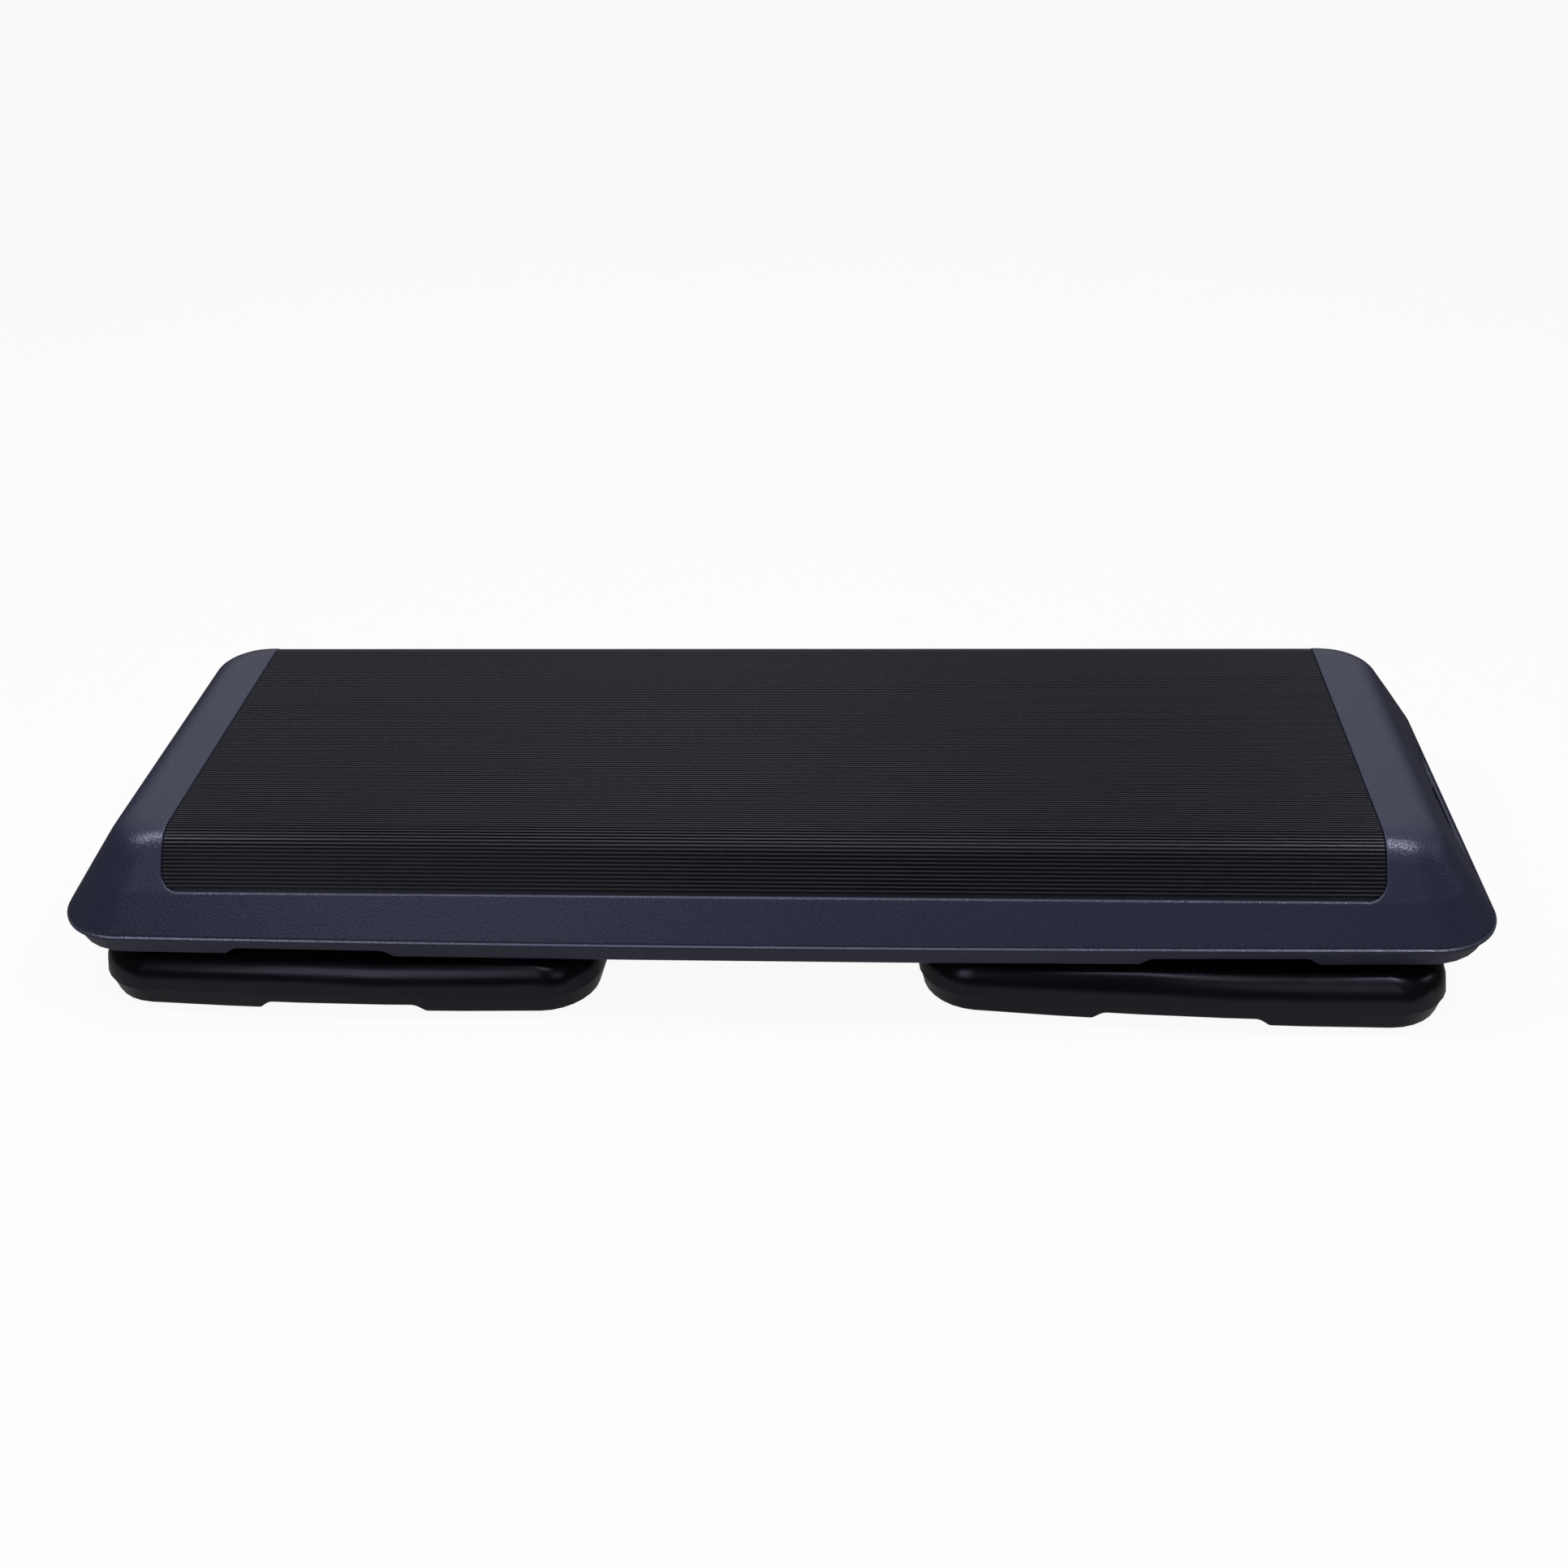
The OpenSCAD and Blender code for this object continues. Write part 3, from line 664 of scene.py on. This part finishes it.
def moulded_polypropylene():
    """Black polypropylene from a polished mould: a smooth skin with a soft, clear sheen."""
    material, tree = new_material("Polypropylene, moulded, semi-gloss")
    if tree is None:
        return material
    flow_mm = 30
    place = put(tree, "ShaderNodeTexCoord").outputs["Object"]
    flow = put(tree, "ShaderNodeTexNoise", None,
               {"Scale": 1 / (flow_mm * MM), "Detail": 4.0, "Roughness": 0.55}, {"Vector": place})
    tone = put(tree, "ShaderNodeMapRange", None, {"To Min": 0.9, "To Max": 1.1},
               {"Value": flow.outputs["Fac"]})
    base = put(tree, "ShaderNodeVectorMath", {"operation": "SCALE"},
               {0: bpy.context.scene.step_colours.riser}, {"Scale": tone.outputs["Result"]})
    rough = put(tree, "ShaderNodeMapRange", None,
                {"From Min": 0.3, "From Max": 0.7, "To Min": 0.22, "To Max": 0.28},
                {"Value": flow.outputs["Fac"]})
    bump = put(tree, "ShaderNodeBump", None, {"Strength": 0.03, "Distance": 0.6 * MM},
               {"Height": flow.outputs["Fac"]})
    # Specular Tint paints a cool, lavender cast into the reflections and highlights, standing in for bluer
    # light.
    shader = put(tree, "ShaderNodeBsdfPrincipled", None,
                 {"IOR": 1.49, "Specular IOR Level": 0.55, "Specular Tint": (0.8, 0.78, 1.0, 1.0)},
                 {"Base Color": base.outputs["Vector"], "Roughness": rough.outputs["Result"],
                  "Normal": bump.outputs["Normal"]})
    put(tree, "ShaderNodeOutputMaterial", links={"Surface": shader.outputs["BSDF"]})
    return material


def moulded_rubber():
    """Compression-moulded rubber of the feet: black and dull, with a dusty break-up."""
    material, tree = new_material("Nitrile rubber, moulded, matt")
    if tree is None:
        return material
    dust_mm = 3
    place = put(tree, "ShaderNodeTexCoord").outputs["Object"]
    dust = put(tree, "ShaderNodeTexNoise", None,
               {"Scale": 1 / (dust_mm * MM), "Detail": 4.0, "Roughness": 0.6}, {"Vector": place})
    tone = put(tree, "ShaderNodeMapRange", None, {"To Min": 0.8, "To Max": 1.3},
               {"Value": dust.outputs["Fac"]})
    base = put(tree, "ShaderNodeVectorMath", {"operation": "SCALE"},
               {0: bpy.context.scene.step_colours.foot}, {"Scale": tone.outputs["Result"]})
    bump = put(tree, "ShaderNodeBump", None, {"Strength": 0.3, "Distance": 0.1 * MM},
               {"Height": dust.outputs["Fac"]})
    shader = put(tree, "ShaderNodeBsdfPrincipled", None,
                 {"IOR": 1.52, "Roughness": 0.8, "Specular IOR Level": 0.3},
                 {"Base Color": base.outputs["Vector"], "Normal": bump.outputs["Normal"]})
    put(tree, "ShaderNodeOutputMaterial", links={"Surface": shader.outputs["BSDF"]})
    return material


# Half the width of the floor, in metres
FLOOR_REACH = 12
# The share of plain white in the floor that the camera sees, beside paper with its shadows
FLOOR_WHITE = 0.94
# How bright reflections see the floor, by metres along Y: a painted reflection, brightest in a band in
# front of the step, with painted shade close to the step for its shadow, and dim further off
FLOOR_PAINTED_REFLECTION = ((-1.5, 0.03), (-0.55, 0.05), (-0.32, 0.42), (-0.05, 0.06), (0.3, 0.05))


def studio_floor():
    """White seamless paper: dull, lit to near white, with a faint shadow of the step on it. Reflections see
    a painted glow in its place.
    """
    material, tree = new_material("Paper, seamless, white")
    if tree is None:
        return material
    fibre_mm = 4
    place = put(tree, "ShaderNodeTexCoord").outputs["Object"]
    fibre = put(tree, "ShaderNodeTexNoise", None, {"Scale": 1 / (fibre_mm * MM)}, {"Vector": place})
    tone = put(tree, "ShaderNodeMapRange", None, {"To Min": 0.99, "To Max": 1.01},
               {"Value": fibre.outputs["Fac"]})
    base = put(tree, "ShaderNodeVectorMath", {"operation": "SCALE"},
               {0: bpy.context.scene.step_colours.floor}, {"Scale": tone.outputs["Result"]})
    paper = put(tree, "ShaderNodeBsdfDiffuse", links={"Color": base.outputs["Vector"]})
    seen = put(tree, "ShaderNodeLightPath")
    mirrored = put(tree, "ShaderNodeMath", {"operation": "MAXIMUM"}, None,
                   {0: seen.outputs["Is Glossy Ray"], 1: seen.outputs["Is Transmission Ray"]})
    # Reflections see a painted glow on the floor: a bright band in front of the step, painted shade near
    # the step, and a dim glow further off.
    first, last = FLOOR_PAINTED_REFLECTION[0][0], FLOOR_PAINTED_REFLECTION[-1][0]
    along = put(tree, "ShaderNodeSeparateXYZ", None, None, {0: place})
    across = put(tree, "ShaderNodeMapRange", None, {"From Min": first, "From Max": last},
                 {"Value": along.outputs["Y"]})
    painted_reflection = put(tree, "ShaderNodeValToRGB", None, None, {0: across.outputs["Result"]})
    ramp = painted_reflection.color_ramp
    while len(ramp.elements) < len(FLOOR_PAINTED_REFLECTION):
        ramp.elements.new(0.5)
    for stop, (y, strength) in zip(ramp.elements, FLOOR_PAINTED_REFLECTION):
        stop.position = (y - first) / (last - first)
        stop.color = (strength, strength, strength, 1)
    shine = put(tree, "ShaderNodeMath", {"operation": "MAXIMUM"}, None,
                {0: painted_reflection.outputs["Color"], 1: seen.outputs["Is Camera Ray"]})
    white = put(tree, "ShaderNodeEmission", None, {"Color": (1, 1, 1, 1)}, {"Strength": shine.outputs[0]})
    share = put(tree, "ShaderNodeMath", {"operation": "MULTIPLY_ADD"}, {1: FLOOR_WHITE},
                {0: seen.outputs["Is Camera Ray"], 2: mirrored.outputs[0]})
    mixed = put(tree, "ShaderNodeMixShader", None, None,
                {0: share.outputs[0], 1: paper.outputs["BSDF"], 2: white.outputs["Emission"]})
    put(tree, "ShaderNodeOutputMaterial", links={"Surface": mixed.outputs["Shader"]})
    return material


# ---- Stage ----

# Name, place and size in metres, and power in watts of each lamp
SOFTBOXES = (
    ("overhead softbox", (-0.2, -0.05, 2.1), (2.7, 0.9), 30),
    ("right roof softbox", (1.05, -0.4, 2.0), (0.45, 0.4), 25),
    ("left roof softbox", (-1.35, -0.4, 2.0), (0.45, 0.4), 20),
    ("front left softbox", (-0.97, -1.72, 1.25), (0.45, 0.89), 2.1),
    ("front middle softbox", (-0.56, -1.89, 1.25), (0.45, 0.89), 1.0),
    ("front right softbox", (0.9, -1.75, 1.25), (0.7, 0.89), 1.0),
    ("right softbox", (2.0, 0.1, 1.1), (0.5, 0.5), 1.5),
)
# The lamps are a little cooler than white.
LAMP_TINT = (0.94, 0.94, 1.0)
# How bright reflections see the room and its scrim, and the fill light that the room gives
ROOM_FRONT, ROOM_BACK, ROOM_FILL = 0.04, 0.62, 0.03
# Direction of the scrim from the step
SCRIM_WAY = (0, 0.7, 0.7)
# Alignment with that direction at which the scrim begins to show and at which it shows fully
SCRIM_FADE = (0.5, 0.95)


def softbox(name, place, aim, size, power):
    """A rectangular studio light at a place, turned to what it lights."""
    lamp = bpy.data.lights.new(name, "AREA")
    lamp.shape = "RECTANGLE"
    lamp.size, lamp.size_y = size
    lamp.energy = power
    lamp.color = LAMP_TINT
    made = bpy.data.objects.new(name, lamp)
    made.location = place
    made.rotation_euler = (Vector(aim) - Vector(place)).to_track_quat("-Z", "Y").to_euler()
    made.visible_camera = False
    bpy.context.scene.collection.objects.link(made)
    return made


def studio_world():
    """A studio: plain white for the camera, a dim room with a bright scrim for reflections, faint fill."""
    world = bpy.data.worlds.new("white studio")
    world.use_nodes = True
    tree = world.node_tree
    tree.nodes.clear()
    seen = put(tree, "ShaderNodeLightPath")
    mirrored = put(tree, "ShaderNodeMath", {"operation": "MAXIMUM"}, None,
                   {0: seen.outputs["Is Glossy Ray"], 1: seen.outputs["Is Transmission Ray"]})
    way = put(tree, "ShaderNodeVectorMath", {"operation": "DOT_PRODUCT"}, {1: SCRIM_WAY},
              {0: put(tree, "ShaderNodeTexCoord").outputs["Generated"]})
    # Reflections see a white scrim high behind the step and a darker room everywhere else.
    room = put(tree, "ShaderNodeMapRange", {"interpolation_type": "SMOOTHSTEP"},
               {"From Min": SCRIM_FADE[0], "From Max": SCRIM_FADE[1], "To Min": ROOM_FRONT,
                "To Max": ROOM_BACK}, {"Value": way.outputs["Value"]})
    around = put(tree, "ShaderNodeMapRange", None, {"To Min": ROOM_FILL},
                 {"Value": mirrored.outputs[0], "To Max": room.outputs["Result"]})
    strength = put(tree, "ShaderNodeMath", {"operation": "MAXIMUM"}, None,
                   {0: around.outputs["Result"], 1: seen.outputs["Is Camera Ray"]})
    light = put(tree, "ShaderNodeBackground", None, {"Color": (1, 1, 1, 1)},
                {"Strength": strength.outputs[0]})
    put(tree, "ShaderNodeOutputWorld", links={"Surface": light.outputs["Background"]})
    bpy.context.scene.world = world


class STEP_OT_stage(bpy.types.Operator):
    """Makes the camera, the pale floor, the studio around it and its lights"""
    bl_idname = "step.stage"
    bl_label = "Camera, floor and light"

    def execute(self, context):
        scene = context.scene
        scene.view_settings.view_transform = "Standard"
        eye = scene.step_camera
        data = bpy.data.cameras.new("photo camera")
        data.sensor_fit = "AUTO"
        data.lens = eye.lens
        data.clip_start, data.clip_end = 0.05, 60
        camera = bpy.data.objects.new("photo camera", data)
        scene.collection.objects.link(camera)
        upright = Matrix.Rotation(math.pi / 2 - eye.tilt, 4, "X")
        turned = Matrix.Rotation(eye.turn, 4, "Z") @ upright @ Matrix.Rotation(eye.roll, 4, "Z")
        camera.matrix_world = Matrix.Translation(eye.place) @ turned
        scene.camera = camera
        studio_world()
        corners = [(x * FLOOR_REACH, y * FLOOR_REACH, 0) for x, y in ((-1, -1), (1, -1), (1, 1), (-1, 1))]
        mesh = bpy.data.meshes.new("studio_floor")
        mesh.from_pydata(corners, [], [(0, 1, 2, 3)])
        floor = bpy.data.objects.new("studio_floor", mesh)
        floor.data.materials.append(studio_floor())
        scene.collection.objects.link(floor)
        floor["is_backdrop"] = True
        # The floor gives way to a riser that has slid out of its socket, and so lies under the lowest one.
        for riser in RISERS:
            body = frame["bodies"][riser]
            limit = floor.constraints.new("FLOOR")
            limit.target = body
            limit.floor_location = "FLOOR_NEGATIVE_Z"
            limit.offset = -body.matrix_world.translation.z
        middle = (CAD_BOX[0] + CAD_BOX[1]) / 2
        for name, place, size, power in SOFTBOXES:
            softbox(name, place, middle, size, power)
        return {"FINISHED"}


# ---- Measures ----

def in_frame(points):
    """Points of the object's frame as x, y in the scaled photograph's frame."""
    camera = bpy.context.scene.camera
    long_side = max(FRAME_W, FRAME_H)
    zoom = long_side * camera.data.lens / camera.data.sensor_width
    local = np.column_stack([points, np.ones(len(points))]) @ np.array(camera.matrix_world.inverted()).T
    x = FRAME_W / 2 - camera.data.shift_x * long_side - local[:, 0] / local[:, 2] * zoom
    y = FRAME_H / 2 + camera.data.shift_y * long_side + local[:, 1] / local[:, 2] * zoom
    return np.column_stack([x, y])


def shown_points(names):
    """The finished vertices of these pieces, in the scaled photograph's frame."""
    graph = bpy.context.evaluated_depsgraph_get()
    found = []
    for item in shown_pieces():
        if item.name.startswith(names):
            solid = item.evaluated_get(graph)
            mesh = solid.to_mesh()
            flat = np.empty(len(mesh.vertices) * 3)
            mesh.vertices.foreach_get("co", flat)
            place = np.array(solid.matrix_world)
            found.append(flat.reshape(-1, 3) @ place[:3, :3].T + place[:3, 3])
            solid.to_mesh_clear()
    return in_frame(np.concatenate(found))


def measure_points(form):
    """Finds the shown edges in the scaled photograph's pixels and, for each other image point, its place
    along every segment of its line; the results are not kept or returned.
    """
    whole = shown_points(("platform", "ribbed", "riser"))
    plan = form.recess_plan(0, 0)
    brink = in_frame(form.skin(plan))
    seam = in_frame(form.ring_points(0, level=form.seam + form.sizes.seam_edge))
    half = form.sizes.grip_length / 2
    along = np.linspace(-half, half, 41)
    rise = form.sizes.grip_height * (1 - (along / half) ** 2)
    scoop = np.column_stack([form.half_x - rise / math.tan(form.sizes.end_slope), along, form.base + rise])
    lines = {"mat": brink, "seam": seam, "grip": in_frame(scoop)}
    edges = {
        "platform left edge": whole[:, 0].min(),
        "platform right edge": whole[:, 0].max(),
        "back edge": whole[:, 1].min(),
        "lowest rim": whole[:, 1].max(),
        "left riser edge": shown_points(("riser_left",))[:, 0].min(),
        "right riser edge": shown_points(("riser_right",))[:, 0].max(),
    }
    for name, (x, y) in IMAGE_POINTS.items():
        if name in edges:
            continue
        line = lines[name.split()[0]]
        start, step = line, np.roll(line, -1, axis=0) - line
        length = np.maximum((step ** 2).sum(axis=1), 1e-9)
        along = np.clip(((np.array([x, y]) - start) * step).sum(axis=1) / length, 0, 1)


class STEP_PT_panel(bpy.types.Panel):
    """Lists the step's pieces in the sidebar"""
    bl_label = "Aerobic step"
    bl_idname = "STEP_PT_panel"
    bl_space_type = "VIEW_3D"
    bl_region_type = "UI"
    bl_category = "Step"

    def draw(self, context):
        for operator in OPERATORS:
            self.layout.operator(operator.bl_idname)
        for group in (context.scene.step_sizes, context.scene.step_colours, context.scene.step_camera):
            box = self.layout.box()
            for name in group.bl_rna.properties.keys():
                if name not in ("rna_type", "name"):
                    box.prop(group, name)


OPERATORS = (
    STEP_OT_stage,
    STEP_OT_platform_skin,
    STEP_OT_tread_mat,
    STEP_OT_platform_base,
    STEP_OT_risers,
    STEP_OT_feet,
)
GROUPS = {"step_sizes": StepSizes, "step_colours": StepColours, "step_camera": StepCamera}


def register():
    for item in (*GROUPS.values(), *OPERATORS, STEP_PT_panel):
        bpy.utils.register_class(item)
    for name, group in GROUPS.items():
        setattr(bpy.types.Scene, name, PointerProperty(type=group))


def unregister():
    for name in GROUPS:
        delattr(bpy.types.Scene, name)
    for item in (STEP_PT_panel, *reversed(OPERATORS), *GROUPS.values()):
        bpy.utils.unregister_class(item)


def main():
    register()
    bpy.ops.step.stage()
    bpy.ops.step.platform_skin()
    bpy.ops.step.tread_mat()
    bpy.ops.step.platform_base()
    bpy.ops.step.risers()
    bpy.ops.step.feet()
    bpy.context.view_layer.update()
    measure_points(PlatformForm(bpy.context.scene.step_sizes))


if __name__ == "__main__":
    main()
